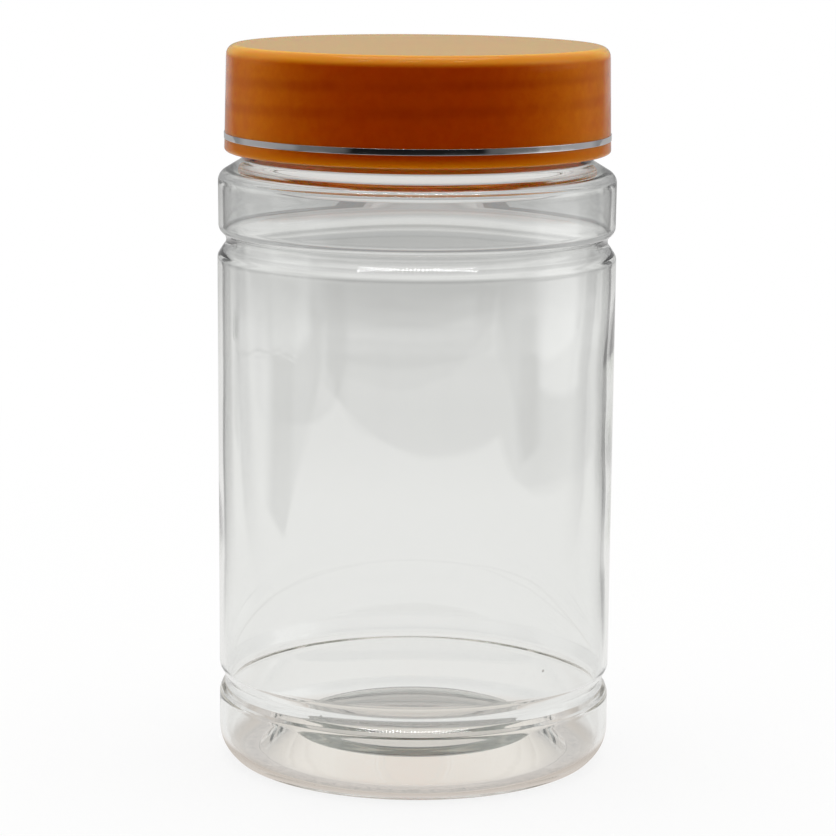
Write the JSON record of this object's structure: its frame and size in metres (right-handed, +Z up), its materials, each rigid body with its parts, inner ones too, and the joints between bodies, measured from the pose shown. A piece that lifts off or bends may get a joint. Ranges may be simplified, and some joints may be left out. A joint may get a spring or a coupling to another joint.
{
  "type": "wide-mouth plastic jar",
  "caption": "Empty clear wide-mouth plastic jar with ring grooves, a pushed-up base and an orange screw cap with a silver line.",
  "frame": {"origin": "centre of the resting plane, under the foot ring", "axes": "+Z up along the jar's axis, towards the cap; X and Y are level and equal, -Y is the side seen first"},
  "size_m": [0.0852, 0.0852, 0.1545],
  "materials": {
    "clear_plastic": "clear gloss",
    "cap_plastic": "smooth semi-gloss",
    "silver_foil": "mirror"
  },
  "bodies": {
    "root": {"jar": "clear_plastic", "cap": "cap_plastic", "foil_band": "silver_foil"}
  },
  "joints": []
}
